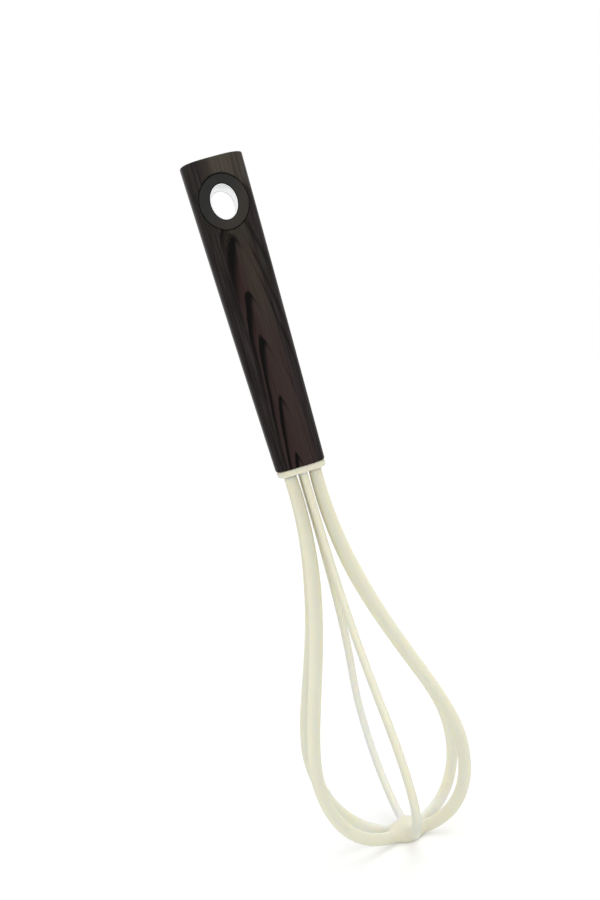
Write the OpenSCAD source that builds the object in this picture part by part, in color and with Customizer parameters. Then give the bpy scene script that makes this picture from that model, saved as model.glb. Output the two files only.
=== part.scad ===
// Balloon whisk with six silicone ribs over three spring wire loops and an oval handle.
// Millimetres. The whisk stands on its tip, which is the origin, with the handle up along +Z.
// The front, with the hanging hole facing the viewer, looks along -Y, and +X is to the right.

/* [Balloon head] */
// Drop from the collar to the middle of the ribs at the tip
head_length = 156.6; // [140:0.1:190]
// Widest radius of the four side ribs, to the middle of the rib
side_radius = 32.2; // [28:0.1:40]
// Widest radius of the front and back ribs, to the middle of the rib
centre_radius = 35.5; // [28:0.1:40]
// Height of the side ribs' widest level above their lowest point
side_belly = 35.6; // [30:0.1:42]
// Height of the front and back ribs' widest level above their lowest point
centre_belly = 33.2; // [28:0.1:38]
// How much higher the front and back ribs end at the tip
centre_rise = 1.2; // [1:0.1:2.2]
// Turn of the front side ribs from straight ahead
side_angle = 68.5; // [58:0.5:69]
// Extra turn of the back side ribs, further out to the sides
side_kink = 2.5; // [0:0.5:2.5]
// Turn of the front rib from straight ahead
centre_angle = 3.6; // [0:0.1:6]

/* [Ribs] */
// Width of a rib, measured round the balloon
rib_width = 3.3; // [2.8:0.1:3.4]
// Depth of a rib at the collar
rib_root_depth = 5.2; // [5:0.1:5.8]
// Depth of a rib at its thickest, a quarter of the way down
rib_neck_depth = 6.6; // [5.8:0.1:7.2]
// Depth of a rib at its widest level and at the tip
rib_tip_depth = 5.3; // [4.8:0.1:5.6]
// Distance of the side ribs from the middle at the collar
side_root = 5.55; // [5.5:0.05:5.8]
// Distance of the front and back ribs from the middle at the collar
centre_root = 3.1; // [3.05:0.05:3.4]
// Lean of the side ribs at the collar, inwards on the way down
side_lean = 2.7; // [0:0.1:3]
// Lean of the front and back ribs at the collar, inwards on the way down
centre_lean = 1.5; // [0:0.1:5]

/* [Spring wires] */
// Diameter of the spring wire
wire_d = 1.2; // [1:0.05:1.3]
// Gap between a wire and the bore that it lies in
wire_gap = 0.1; // [0.08:0.01:0.12]
// Step between the wires where they cross at the tip
wire_pitch = 1.6; // [1.55:0.05:1.7]
// Height of the lowest wire's middle at the tip
wire_floor = 1.7; // [1.5:0.05:1.8]
// Length of wire above the collar, held in the tang
wire_grip = 14; // [8:0.5:17]

/* [Tip hub] */
// Radius of the solid middle where the six ribs meet
hub_radius = 4.2; // [3.8:0.1:5]
// Height of the solid middle
hub_height = 6.8; // [6.4:0.1:7.2]
// Radius of the rounded edges of the solid middle
hub_round = 1.8; // [1:0.1:2.2]

/* [Collar] */
// Height of the collar's flange between the ribs and the handle
collar_height = 2.6; // [2:0.1:4]
// How far the flange stays inside the handle's outline
collar_inset = 0.2; // [0:0.05:0.5]
// Rounding of the flange's edges
collar_round = 0.6; // [0.3:0.05:0.8]
// Height of the plug that goes into the handle
plug_height = 4; // [3:0.5:8]

/* [Handle] */
// Length of the handle above the collar
handle_length = 125; // [110:0.1:150]
// Width of the handle at the collar
handle_foot_width = 20.3; // [20:0.1:24]
// Width of the handle half way up
handle_mid_width = 22.9; // [22:0.1:26]
// Width of the handle at the top
handle_top_width = 25; // [24.5:0.1:29]
// Thickness of the handle at the collar, front to back
handle_foot_depth = 13.5; // [13.4:0.1:16]
// Thickness of the handle half way up
handle_mid_depth = 15; // [14.5:0.1:17]
// Thickness of the handle at the top
handle_top_depth = 16.4; // [16:0.1:18]
// Height of the crown at the handle's top
handle_crown = 1.2; // [0.8:0.1:3]
// Rounding of the handle's lower edge
handle_edge = 0.7; // [0.3:0.05:1]
// Fullness of the handle's oval, from 2 for an ellipse to 4 for a rounded box
handle_power = 3.2; // [2.6:0.1:3.6]

/* [Hanging hole] */
// Distance from the handle's top to the middle of the hanging hole
hole_drop = 18.2; // [16.5:0.1:22]
// Width of the opening in the dark ring
hole_width = 10.8; // [9.5:0.1:11.5]
// Height of the opening in the dark ring
hole_height = 14.3; // [12:0.1:15]
// Width of the dark ring's outline
ring_width = 18.8; // [18.5:0.1:19.8]
// Height of the dark ring's outline
ring_height = 21.8; // [21.5:0.1:23]
// Distance from the middle of the handle to the ring's flat face
ring_face = 7.4; // [7:0.05:7.4]
// Thickness of the ring's flange
ring_flange = 1.5; // [1.2:0.05:1.7]
// Rounding of the ring's edges
ring_round = 0.25; // [0.1:0.05:0.4]
// Thickness of the ring's sleeve, which goes through the shell
ring_sleeve = 0.9; // [0.8:0.05:1]
// Wall of the polished liner tube
liner_wall = 0.5; // [0.4:0.05:0.8]
// How far the liner's ends lie behind the ring's face
liner_set_back = 0.3; // [0.1:0.05:0.6]

/* [Tang] */
// Width of the handle's inner cavity
cavity_width = 16.8; // [16.6:0.1:17.2]
// Thickness of the handle's inner cavity
cavity_depth = 9.5; // [9.4:0.1:9.8]
// Height of the tang's foot, which holds the wire ends
foot_height = 20; // [18:0.5:30]
// Width of the tang's stem
stem_width = 9; // [7:0.1:12]
// Thickness of the tang's stem
stem_depth = 5; // [4:0.1:7]
// Width of the stem's cross web
web_width = 2.4; // [1.6:0.1:4]
// Wall of the tang's eye round the liner, at its sides
eye_wall = 2.5; // [2:0.05:2.6]

/* [Fits] */
// Gap between fixed pieces that slide together
fit_gap = 0.12; // [0.08:0.01:0.15]
// Dark gap round the ring in its recess
ring_gap = 0.22; // [0.15:0.01:0.3]

/* [Hidden] */

// Overrun of every cut past the face that it opens
cut = 1;
// Counts of flat steps along and round the swept and lofted forms
neck_steps = 12;
belly_steps = 16;
hub_steps = 3;
rib_sides = 12;
wire_sides = 6;
oval_sides = 64;
crown_steps = 6;

// Shape of the ribs: how long each curve keeps its end's direction
neck_hold_share = [0.494, 0.745];
waist_hold_share = [0.213, 0.278];
belly_hold_share = [0.627, 0.682];
tip_hold_share = [0.595, 0.457];
// Stretch of a rib over which its depth grows, and where it has thinned again
rib_depth_shares = [0, 0.12, 0.51, 1];

// Heights of the main levels
collar_z = head_length + rib_tip_depth / 2;
handle_z = collar_z + collar_height;
top_z = handle_z + handle_length;
hole_z = top_z - hole_drop;

// The two kinds of loop, side and centre, in that order
SIDE = 0;
CENTRE = 1;
loop_root = [side_root, centre_root];
loop_lean = [side_lean, centre_lean];
loop_radius = [side_radius, centre_radius];
loop_belly = [side_belly, centre_belly];
loop_tip_z = [rib_tip_depth / 2, rib_tip_depth / 2 + centre_rise];

// Directions of the ribs round the balloon, from the front, to the right positive
half_turn = 180;
front_turn = centre_angle;
back_turn = centre_angle + half_turn;
front_left_turn = -side_angle;
front_right_turn = side_angle;
back_left_turn = side_angle + side_kink - half_turn;
back_right_turn = half_turn - side_angle - side_kink;

// Inside of the handle
liner_out_width = hole_width - 2 * fit_gap;
liner_out_height = hole_height - 2 * fit_gap;
sleeve_width = hole_width + 2 * ring_sleeve;
sleeve_height = hole_height + 2 * ring_sleeve;
tang_width = cavity_width - 2 * fit_gap;
tang_depth = cavity_depth - 2 * fit_gap;
bore_r = wire_d / 2 + wire_gap;
eye_width = liner_out_width + 2 * fit_gap + 2 * eye_wall;
eye_height = liner_out_height + 2 * fit_gap + 2 * eye_wall;
cavity_top = hole_z + eye_height / 2 + fit_gap;
foot_z = handle_z + plug_height;

// Point on a cubic curve, and its direction
function cubic(p, t) = pow(1 - t, 3) * p[0] + 3 * t * pow(1 - t, 2) * p[1]
    + 3 * t * t * (1 - t) * p[2] + t * t * t * p[3];
function cubic_way(p, t) = 3 * (1 - t) * (1 - t) * (p[1] - p[0])
    + 6 * t * (1 - t) * (p[2] - p[1]) + 3 * t * t * (p[3] - p[2]);

// Upper curve of a loop, from the collar to the widest level, as distance out and height
function neck_curve(kind) = let (
    belly_z = loop_tip_z[kind] + loop_belly[kind],
    drop = collar_z - belly_z,
    hold = neck_hold_share[kind] * drop
) [
    [loop_root[kind], collar_z],
    [loop_root[kind] - hold * sin(loop_lean[kind]), collar_z - hold * cos(loop_lean[kind])],
    [loop_radius[kind], belly_z + waist_hold_share[kind] * drop],
    [loop_radius[kind], belly_z]
];

// Lower curve of a loop, from the widest level to the axis at the given height
function belly_curve(kind, end_z) = let (
    belly_z = loop_tip_z[kind] + loop_belly[kind]
) [
    [loop_radius[kind], belly_z],
    [loop_radius[kind], belly_z - belly_hold_share[kind] * loop_belly[kind]],
    [tip_hold_share[kind] * loop_radius[kind], end_z],
    [0, end_z]
];

// Stations along half a loop: distance out, height, direction out, direction up, share of the way.
// The step counts run over the upper curve and on over the lower one.
function station(kind, end_z, step) = let (
    low = step > neck_steps,
    t = low ? (step - neck_steps) / belly_steps : step / neck_steps,
    curve = low ? belly_curve(kind, end_z) : neck_curve(kind),
    way = step == 0 ? [0, -1] : cubic_way(curve, t),
    place = cubic(curve, t)
) [place[0], place[1], way[0] / norm(way), way[1] / norm(way), step / (neck_steps + belly_steps)];

// Oval ring of points round a station. The wide axis of the oval lies in the loop's plane.
function station_ring(s, turn, half_width, half_depth, sides) = [
    for (i = [0 : sides - 1]) let (
        a = 360 * i / sides,
        side = half_width * cos(a),
        deep = half_depth * sin(a),
        out = s[0] - deep * s[3],
        up = s[1] + deep * s[2]
    ) [out * sin(turn) + side * cos(turn), side * sin(turn) - out * cos(turn), up]
];

// Rings of half a loop walked outwards on the far side of the axis, at that side's own turn.
// The ring on the axis is left to the near side, and each ring starts from the same corner.
function far_rings(stations, far_turn, half_width, half_depths, sides) = [
    for (i = [len(stations) - 2 : -1 : 0]) let (
        ring = station_ring(stations[i], far_turn, half_width, half_depths[i], sides)
    ) [for (k = [0 : sides - 1]) ring[(sides / 2 - k + sides) % sides]]
];

// Half the depth of a rib at a share of the way from the collar to the tip
function rib_half_depth(share) = lookup(share, [
    [rib_depth_shares[0], rib_root_depth / 2],
    [rib_depth_shares[1], rib_neck_depth / 2],
    [rib_depth_shares[2], rib_tip_depth / 2],
    [rib_depth_shares[3], rib_tip_depth / 2]
]);

// Oval outline, fuller than an ellipse when the power is above 2
function oval(width, depth, power, sides) = [
    for (i = [0 : sides - 1]) let (a = 360 * i / sides, c = cos(a), s = sin(a))
        [sign(c) * width / 2 * pow(abs(c), 2 / power), sign(s) * depth / 2 * pow(abs(s), 2 / power)]
];

// Solid through a list of rings that have the same number of points
module skin(rings) {
    sides = len(rings[0]);
    last = (len(rings) - 1) * sides;
    polyhedron(
        points = [for (ring = rings) each ring],
        faces = [
            [for (i = [0 : sides - 1]) i],
            for (k = [0 : len(rings) - 2]) for (i = [0 : sides - 1]) let (
                a = k * sides + i,
                b = k * sides + (i + 1) % sides
            ) each [[b, a, a + sides], [b, a + sides, b + sides]],
            [for (i = [sides - 1 : -1 : 0]) last + i]
        ]
    );
}

// Prism with an oval outline, from one height to another
module oval_prism(width, depth, power, low, high) {
    translate([0, 0, low])
        linear_extrude(high - low)
            polygon(oval(width, depth, power, oval_sides));
}

// Elliptical prism through the handle, level with the hanging hole, from one depth to another
module hole_prism(width, height, near, far) {
    translate([0, far, hole_z])
        rotate([90, 0, 0])
            linear_extrude(far - near)
                polygon(oval(width, height, 2, oval_sides));
}

// One half loop of wire, from the collar to the axis
function wire_stations(kind, end_z) = [
    for (step = [0 : neck_steps + belly_steps]) station(kind, end_z, step)
];

// Bore for a wire along a run of stations
module wire_bore(kind, turn, end_z, first, last) {
    skin([for (step = [first : last])
        station_ring(station(kind, end_z, step), turn, bore_r, bore_r, wire_sides)]);
}

// Short straight bore that carries the wire's bore out through the face at the collar
module root_bore(kind, turn) {
    root = station(kind, loop_tip_z[kind], 0);
    skin([for (z = [collar_z + cut, collar_z])
        station_ring([root[0], z, 0, -1, 0], turn, bore_r, bore_r, wire_sides)]);
}

// A silicone rib from the collar to the tip hub, with the bore that its wire lies in
module rib(kind, turn, wire_z) {
    last = neck_steps + belly_steps - hub_steps;
    color([0.89, 0.88, 0.81])
        difference() {
            skin([for (step = [0 : last]) let (s = station(kind, loop_tip_z[kind], step))
                station_ring(s, turn, rib_width / 2, rib_half_depth(s[4]), rib_sides)]);
            wire_bore(kind, turn, wire_z, 0, last + 1);
            root_bore(kind, turn);
        }
}

// Height of each wire's middle at the tip
left_wire_z = wire_floor;
right_wire_z = wire_floor + wire_pitch;
centre_wire_z = wire_floor + 2 * wire_pitch;

module rib_front() {
    rib(CENTRE, front_turn, centre_wire_z);
}

module rib_back() {
    rib(CENTRE, back_turn, centre_wire_z);
}

module rib_front_left() {
    rib(SIDE, front_left_turn, left_wire_z);
}

module rib_front_right() {
    rib(SIDE, front_right_turn, right_wire_z);
}

module rib_back_left() {
    rib(SIDE, back_left_turn, right_wire_z);
}

module rib_back_right() {
    rib(SIDE, back_right_turn, left_wire_z);
}

// Two opposite arms of the hub in one sweep through the axis
module hub_arms(kind, turn, far_turn) {
    first = neck_steps + belly_steps - hub_steps;
    last = neck_steps + belly_steps;
    near = [for (step = [first : last]) station(kind, loop_tip_z[kind], step)];
    depths = [for (s = near) rib_half_depth(s[4])];
    skin(concat(
        [for (i = [0 : hub_steps]) station_ring(near[i], turn, rib_width / 2, depths[i], rib_sides)],
        far_rings(near, far_turn, rib_width / 2, depths, rib_sides)
    ));
}

// Round sweep from one end of a run of stations through the axis to the far side's end
module round_loop(near, turn, far_turn, radius) {
    skin(concat(
        [for (s = near) station_ring(s, turn, radius, radius, wire_sides)],
        far_rings(near, far_turn, radius, [for (s = near) radius], wire_sides)
    ));
}

// The bore of one wire through the hub
module hub_bore(kind, turn, far_turn, end_z) {
    first = neck_steps + belly_steps - hub_steps - 1;
    last = neck_steps + belly_steps;
    round_loop([for (step = [first : last]) station(kind, end_z, step)], turn, far_turn, bore_r);
}

// Six armed silicone hub where the three loops cross at the tip
module tip_hub() {
    color([0.88, 0.86, 0.77])
        difference() {
            union() {
                hub_arms(SIDE, front_left_turn, back_right_turn);
                hub_arms(SIDE, front_right_turn, back_left_turn);
                hub_arms(CENTRE, front_turn, back_turn);
                hub_boss();
            }
            hub_bore(SIDE, front_left_turn, back_right_turn, left_wire_z);
            hub_bore(SIDE, front_right_turn, back_left_turn, right_wire_z);
            hub_bore(CENTRE, front_turn, back_turn, centre_wire_z);
        }
}

// Rounded middle of the hub
module hub_boss() {
    rotate_extrude($fn = 32)
        intersection() {
            translate([-hub_radius, 0])
                offset(r = hub_round, $fn = 24)
                    offset(delta = -hub_round)
                        square([2 * hub_radius, hub_height]);
            square([hub_radius, hub_height]);
        }
}

// A loop of spring wire, from one socket in the tang round the tip to the other
module loop_wire(kind, turn, far_turn, end_z) {
    near = wire_stations(kind, end_z);
    end = [near[0][0], foot_z + wire_grip, 0, -1, 0];
    color([0.72, 0.73, 0.74])
        round_loop(concat([end], near), turn, far_turn, wire_d / 2);
}

module wire_centre() {
    loop_wire(CENTRE, front_turn, back_turn, centre_wire_z);
}

module wire_left_front() {
    loop_wire(SIDE, front_left_turn, back_right_turn, left_wire_z);
}

module wire_right_front() {
    loop_wire(SIDE, front_right_turn, back_left_turn, right_wire_z);
}

// The six upright holes that the wire ends go through, between two heights
module wire_holes(low, high) {
    for (end = [
        [CENTRE, front_turn], [CENTRE, back_turn],
        [SIDE, front_left_turn], [SIDE, front_right_turn],
        [SIDE, back_left_turn], [SIDE, back_right_turn]
    ])
        rotate([0, 0, end[1]])
            translate([0, -loop_root[end[0]], low])
                cylinder(r = bore_r, h = high - low, $fn = 24);
}

// Cream flange under the handle, with a plug that closes the handle's mouth
module collar() {
    width = handle_foot_width - 2 * collar_inset;
    depth = handle_foot_depth - 2 * collar_inset;
    color([0.87, 0.85, 0.75])
        difference() {
            union() {
                skin([for (a = [0 : 30 : 90]) collar_ring(width, depth, a, collar_z + collar_round, -1),
                    for (a = [90 : -30 : 0]) collar_ring(width, depth, a, handle_z - collar_round, 1)]);
                oval_prism(tang_width, tang_depth, handle_power, handle_z - collar_round, foot_z);
            }
            wire_holes(collar_z - cut, foot_z + cut);
        }
}

// One ring of the flange's rounded edge: way is -1 for the lower edge and 1 for the upper one
function collar_ring(width, depth, a, level, way) = let (
    angle = way < 0 ? 90 - a : a,
    inward = collar_round * (1 - cos(angle)),
    z = level + way * collar_round * sin(angle)
) [for (p = oval(width - 2 * inward, depth - 2 * inward, handle_power, oval_sides)) [p[0], p[1], z]];

// Width and thickness of the handle at a share of its length, on a curve through three sizes
function through(foot, mid, top, share) = foot * (1 - share) * (1 - 2 * share)
    + mid * 4 * share * (1 - share) + top * share * (2 * share - 1);

// Ring of the handle's outside at a share of its length, drawn in by a scale
function handle_ring(share, z, drawn) = let (
    width = through(handle_foot_width, handle_mid_width, handle_top_width, share) * drawn,
    depth = through(handle_foot_depth, handle_mid_depth, handle_top_depth, share) * drawn
) [for (p = oval(width, depth, handle_power, oval_sides)) [p[0], p[1], z]];

// Outside of the handle: a rounded foot, a tapering oval body and a low crown
module handle_body() {
    body = handle_length - handle_crown;
    edge_draw = 1 - 2 * handle_edge / handle_foot_width;
    body_shares = [0, 0.125, 0.25, 0.375, 0.5, 0.625, 0.75, 0.875, 1];
    skin([
        handle_ring(0, handle_z, edge_draw),
        handle_ring(0, handle_z + handle_edge * (1 - cos(60)), (edge_draw + 1) / 2),
        for (share = body_shares) handle_ring(share, handle_z + handle_edge + share * (body - handle_edge), 1),
        for (i = [1 : crown_steps]) let (a = 86 * i / crown_steps)
            handle_ring(1, top_z - handle_crown * (1 - sin(a)), cos(a))
    ]);
}

// Hollow handle shell, printed with wood grain, with a recess for a ring on each side
module handle_shell() {
    recess = ring_face - ring_flange - fit_gap;
    reach = handle_top_depth / 2 + cut;
    color([0.2, 0.15, 0.13])
        difference() {
            handle_body();
            oval_prism(cavity_width, cavity_depth, handle_power, handle_z - cut, cavity_top);
            hole_prism(sleeve_width + 2 * fit_gap, sleeve_height + 2 * fit_gap, -reach, reach);
            hole_prism(ring_width + 2 * ring_gap, ring_height + 2 * ring_gap, -reach, -recess);
            hole_prism(ring_width + 2 * ring_gap, ring_height + 2 * ring_gap, recess, reach);
        }
}

// Dark oval ring with a sleeve through the shell, seated on the tang's eye
module eyelet() {
    back = tang_depth / 2 + fit_gap;
    color([0.2, 0.2, 0.18])
        difference() {
            union() {
                hole_prism(ring_width, ring_height, ring_face - ring_flange, ring_face - ring_round);
                hole_prism(ring_width - 2 * ring_round, ring_height - 2 * ring_round,
                    ring_face - ring_flange, ring_face);
                hole_prism(sleeve_width, sleeve_height, back, ring_face - ring_flange);
            }
            hole_prism(hole_width, hole_height, back - cut, ring_face + cut);
        }
}

module eyelet_back() {
    eyelet();
}

module eyelet_front() {
    mirror([0, 1, 0])
        eyelet();
}

// Polished oval tube that lines the hanging hole
module eyelet_liner() {
    reach = ring_face - liner_set_back;
    color([0.8, 0.8, 0.81])
        difference() {
            hole_prism(liner_out_width, liner_out_height, -reach, reach);
            hole_prism(liner_out_width - 2 * liner_wall, liner_out_height - 2 * liner_wall,
                -reach - cut, reach + cut);
        }
}

// Stiff spine inside the handle: a foot with the wire sockets, a cross shaped stem and an eye
module handle_tang() {
    half = tang_depth / 2;
    color([0.55, 0.55, 0.53])
        difference() {
            union() {
                oval_prism(tang_width, tang_depth, handle_power, foot_z, foot_z + foot_height);
                translate([-stem_width / 2, -stem_depth / 2, foot_z])
                    cube([stem_width, stem_depth, hole_z - foot_z]);
                translate([-web_width / 2, -half, foot_z])
                    cube([web_width, tang_depth, hole_z - foot_z]);
                intersection() {
                    hole_prism(eye_width, eye_height, -half, half);
                    oval_prism(tang_width, tang_depth, handle_power, foot_z, cavity_top);
                }
            }
            hole_prism(hole_width, hole_height, -half - cut, half + cut);
            wire_holes(foot_z - cut, foot_z + wire_grip + fit_gap);
        }
}

handle_shell();
handle_tang();
eyelet_front();
eyelet_back();
eyelet_liner();
collar();
rib_front();
rib_back();
rib_front_left();
rib_front_right();
rib_back_left();
rib_back_right();
tip_hub();
wire_centre();
wire_left_front();
wire_right_front();
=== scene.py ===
import math

import bpy
import numpy as np
from mathutils import Matrix, Vector

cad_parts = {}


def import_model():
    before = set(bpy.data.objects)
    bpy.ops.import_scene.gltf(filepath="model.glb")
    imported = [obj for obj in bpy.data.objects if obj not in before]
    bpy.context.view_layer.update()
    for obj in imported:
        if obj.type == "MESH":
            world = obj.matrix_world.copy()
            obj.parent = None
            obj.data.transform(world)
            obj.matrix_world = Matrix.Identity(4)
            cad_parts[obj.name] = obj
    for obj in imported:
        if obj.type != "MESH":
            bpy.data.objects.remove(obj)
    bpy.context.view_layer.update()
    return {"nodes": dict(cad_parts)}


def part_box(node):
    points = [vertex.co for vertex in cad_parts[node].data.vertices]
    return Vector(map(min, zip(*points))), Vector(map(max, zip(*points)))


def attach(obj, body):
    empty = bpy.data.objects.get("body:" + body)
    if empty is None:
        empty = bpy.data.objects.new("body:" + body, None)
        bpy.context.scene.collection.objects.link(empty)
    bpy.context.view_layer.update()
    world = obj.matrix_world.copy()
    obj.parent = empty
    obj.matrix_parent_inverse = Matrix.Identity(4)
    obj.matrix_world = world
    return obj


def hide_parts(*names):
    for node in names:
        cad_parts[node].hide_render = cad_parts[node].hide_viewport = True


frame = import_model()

# All sizes below are millimetres, and this turns them into the scene's metres
MM = 0.001

# Main heights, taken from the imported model
COLLAR_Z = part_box("collar")[0].z / MM
SHELL_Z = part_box("handle_shell")[0].z / MM
TOP_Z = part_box("handle_shell")[1].z / MM
PLUG_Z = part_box("collar")[1].z / MM

# Balloon: middle lines of the two kinds of loop
SIDE = {
    "root": 5.55, "lean": 2.7, "radius": 32.2, "belly": 35.6, "tip_z": 2.65,
    "neck_hold": 0.494, "waist_hold": 0.213, "belly_hold": 0.627, "tip_hold": 0.595,
}
CENTRE = {
    "root": 3.1, "lean": 1.5, "radius": 35.5, "belly": 33.2, "tip_z": 3.85,
    "neck_hold": 0.745, "waist_hold": 0.278, "belly_hold": 0.682, "tip_hold": 0.457,
}
# The front rib goes into the hub a little higher and rounder than its solid does
FRONT = dict(CENTRE, tip_z=4.5, belly=32.55, belly_hold=0.58, tip_hold=0.41)
SIDE_TURN = 68.5
BACK_SIDE_TURN = 109.0
CENTRE_TURN = 3.6

# Steps of the part's own ribs along the neck, the belly and the hub's arm. A share of the way
# along a rib counts these steps, and each has more places here.
NECK_STEPS = 12
BELLY_STEPS = 16
HUB_STEPS = 3
PLACES_PER_STEP = 40

# Section of a rib, and how its width and depth run from the collar to the tip. The skin is how
# far the smooth rib lies inside its solid on either side of its depth.
RIB_WIDTH_SHARES = [0.0, 0.3, 1.0]
RIB_WIDTHS = [3.05, 3.25, 3.4]
RIB_DEPTH_SHARES = [0.0, 0.12, 0.51, 1.0]
RIB_DEPTHS = [5.2, 6.6, 5.3, 5.3]
RIB_SKIN = 0.06
RIB_ROWS = 170
RIB_SIDES = 40
ROOT_RISE = 0.6
HUB_OVERLAP_SHARE = 0.01
WIRE_BORE = 1.4
WIRE_FLOOR = 1.7
WIRE_PITCH = 1.6

# Every rib: its loop, its turn from the front, and the height of its wire at the tip
RIBS = {
    "rib_front": (FRONT, CENTRE_TURN, WIRE_FLOOR + 2 * WIRE_PITCH),
    "rib_back": (CENTRE, CENTRE_TURN + 180, WIRE_FLOOR + 2 * WIRE_PITCH),
    "rib_front_left": (SIDE, -SIDE_TURN, WIRE_FLOOR),
    "rib_front_right": (SIDE, SIDE_TURN, WIRE_FLOOR + WIRE_PITCH),
    "rib_back_left": (SIDE, -BACK_SIDE_TURN, WIRE_FLOOR + WIRE_PITCH),
    "rib_back_right": (SIDE, BACK_SIDE_TURN, WIRE_FLOOR),
}

# Hub and collar are meshed from fields: how far their arms lie inside the ribs' surface, and
# how much the mesh is smoothed
FIELD_SKIN = 0.03
RELAX_ROUNDS = 2
RELAX_SHARE = 0.4

# Hub at the tip: its grid, its arms with the fillets between them, and the boss in the middle
HUB_STEP = 0.28
HUB_HALF = 12.6
HUB_BELOW = 0.6
HUB_ABOVE = 9.4
ARM_REACH = 10.2
ARM_ROWS = 60
ARM_FLARE = 2.4
ARM_BLEND = 2.6
BORE_BEYOND = 3.0
BOSS_RADIUS = 4.6
BOSS_HALF = 2.8
BOSS_LIFT = 0.1
BOSS_BLEND = 2.4

# Handle: full width and depth of its ovals
FOOT_SIZE = (20.3, 13.5)
MID_SIZE = (22.9, 15.0)
TOP_SIZE = (25.0, 16.4)
HANDLE_POWER = 3.2
CROWN = 1.2
BODY_TOP = TOP_Z - CROWN
FOOT_EDGE = 0.7
SHELL_SIDES = 208
SHELL_ROWS = 124
FOOT_ANGLES = [8, 30, 50, 70]
CROWN_ANGLES = [10, 20, 30, 40, 50, 60, 70, 78, 84]
OVAL_FINENESS = 4000

# Collar: its grid, the flange, the plug and the short arms that fillet the ribs' roots
COLLAR_STEP = 0.3
COLLAR_MARGIN = 0.9
COLLAR_BELOW = 3.4
COLLAR_INSET = 0.2
FLANGE_EDGE = 0.6
PLUG_SIZE = (16.56, 9.26)
PLUG_EDGE = 0.3
PLUG_OVERLAP = 0.6
ROOT_ARM = 2.6
ROOT_ARM_COVER = 0.5
ROOT_BLEND = 0.9

# Hanging hole: full width and height of each oval
HOLE_Z = TOP_Z - 18.2
HOLE = (10.8, 14.3)
RING = (18.8, 21.8)
RING_GAP = 0.22
RING_FACE = 7.4
RING_FLANGE = 1.5
RING_RIM = 0.35
SLEEVE_WALL = 0.9
SLEEVE_END = 4.75
FIT_GAP = 0.12
LINER_WALL = 0.5
LINER_SET_BACK = 0.3
LATHE_SIDES = 128
RIM_ANGLES = [0, 22, 45, 68, 90]
LINER_END_ANGLES = np.linspace(0, 180, 9)

# Recess for a ring: its oval, the bore behind it, its floor, and the block of the handle's grid
# that its patch replaces, wide enough for the recess and its lip
RECESS = tuple(size + 2 * RING_GAP for size in RING)
SHELL_BORE = tuple(size + 2 * SLEEVE_WALL + 2 * FIT_GAP for size in HOLE)
RECESS_FLOOR = RING_FACE - RING_FLANGE - FIT_GAP
RECESS_LIP = 0.3
LIP_ANGLES = RIM_ANGLES[1:]
PATCH_ROWS = 8
BLOCK_HALF_WIDTH = 11.3
BLOCK_HALF_HEIGHT = 13.0

# Camera, fitted to the outlines in the photograph, whose frame is 600 by 900. Angles are in
# degrees. Focal length, pan and tilt are in the photograph's pixels.
PHOTO_HEIGHT = 900
SENSOR = 36.0
CAMERA_TARGET_Z = 162.65
CAMERA_AZIMUTH = 4.919
CAMERA_ELEVATION = 6.053
CAMERA_DISTANCE = 395.35
CAMERA_ROLL = -16.432
CAMERA_FOCAL = 985.05
CAMERA_PAN = -0.382
CAMERA_TILT = 13.353

# Stage. A lamp has the direction that it shines from, its strength and its angle in degrees.
LAMPS = {
    "key": ((-0.1, -1.0, 0.25), 0.8, 100),
    "overhead": ((0.27, 0.06, 0.95), 0.95, 55),
}
WHITE = (1, 1, 1)
WORLD_LIGHT = 0.62
FLOOR_COLOR = (0.86, 0.86, 0.86)
FLOOR_GLOW = 0.23
FLOOR_HALF = 1500.0
FLOOR_DROP = 0.05


def srgb(red, green, blue):
    """Linear colour from a colour in 0 to 255 display values."""
    return tuple((c / 255 / 12.92) if c <= 10 else ((c / 255 + 0.055) / 1.055) ** 2.4
                 for c in (red, green, blue))


# Colours
CREAM = {
    "low": srgb(238, 236, 217),
    "high": srgb(233, 229, 208),
    # Painted light: the paler colour behind, for the back rib and the hub's back
    "behind": srgb(246, 246, 238),
    "cloud": srgb(234, 231, 210),
}
WOOD = {
    "margin_left": srgb(36, 31, 30),
    "margin_right": srgb(40, 32, 33),
    "streak_rosy": srgb(63, 54, 56),
    "streak_yellow": srgb(56, 55, 50),
    "inner_left": srgb(53, 36, 34),
    "inner_right": srgb(61, 52, 45),
    "inner_low": srgb(58, 44, 44),
    "inner_high": srgb(54, 52, 44),
    # Painted highlight on the print near the top, to the right
    "top": srgb(77, 71, 62),
    "fibre": srgb(28, 23, 21),
    "streak": srgb(22, 19, 17),
    "arch": srgb(5, 4, 3),
}
# Dark grey of the eyelets, and the lighter grey that paints light on them
EYELET_DARK, EYELET_LIT = srgb(26, 27, 25), srgb(44, 40, 34)
NYLON_DARK, NYLON_PALE = srgb(176, 175, 168), srgb(190, 188, 180)
WIRE_STEEL = srgb(205, 206, 208)
LINER_STEEL = srgb(236, 237, 238)
METAL_DULL = 0.86

# Noises: waves per millimetre along x, y and z, the detail, and the roughness where it isn't 0.5
CREAM_CLOUD = ((0.06, 0.06, 0.03), 2.0)
CREAM_SKIN = ((1.6, 1.6, 1.6), 3.0)
ARCH_WANDER = ((0.09, 0.09, 0.022), 2.0)
ARCH_RAGGED = ((1.6, 1.6, 0.07), 4.0, 0.6)
WOOD_FIBRE = ((3.0, 3.0, 0.07), 5.0, 0.62)
WOOD_STREAK = ((1.5, 1.5, 0.035), 3.0, 0.6)
WOOD_PALE = ((2.0, 2.0, 0.03), 3.0, 0.65)
WOOD_BROAD = ((0.35, 0.35, 0.03), 3.0)
EYELET_CLOUD = ((0.25, 0.25, 0.25), 3.0)
EYELET_SPARK = ((9.0, 9.0, 9.0), 3.0)
NYLON_CLOUD = ((0.3, 0.3, 0.3), 3.0)
WIRE_MARKS = ((0.4, 0.4, 4.0), 4.0)
LINER_MARKS = ((0.6, 3.0, 0.6), 4.0)

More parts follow.
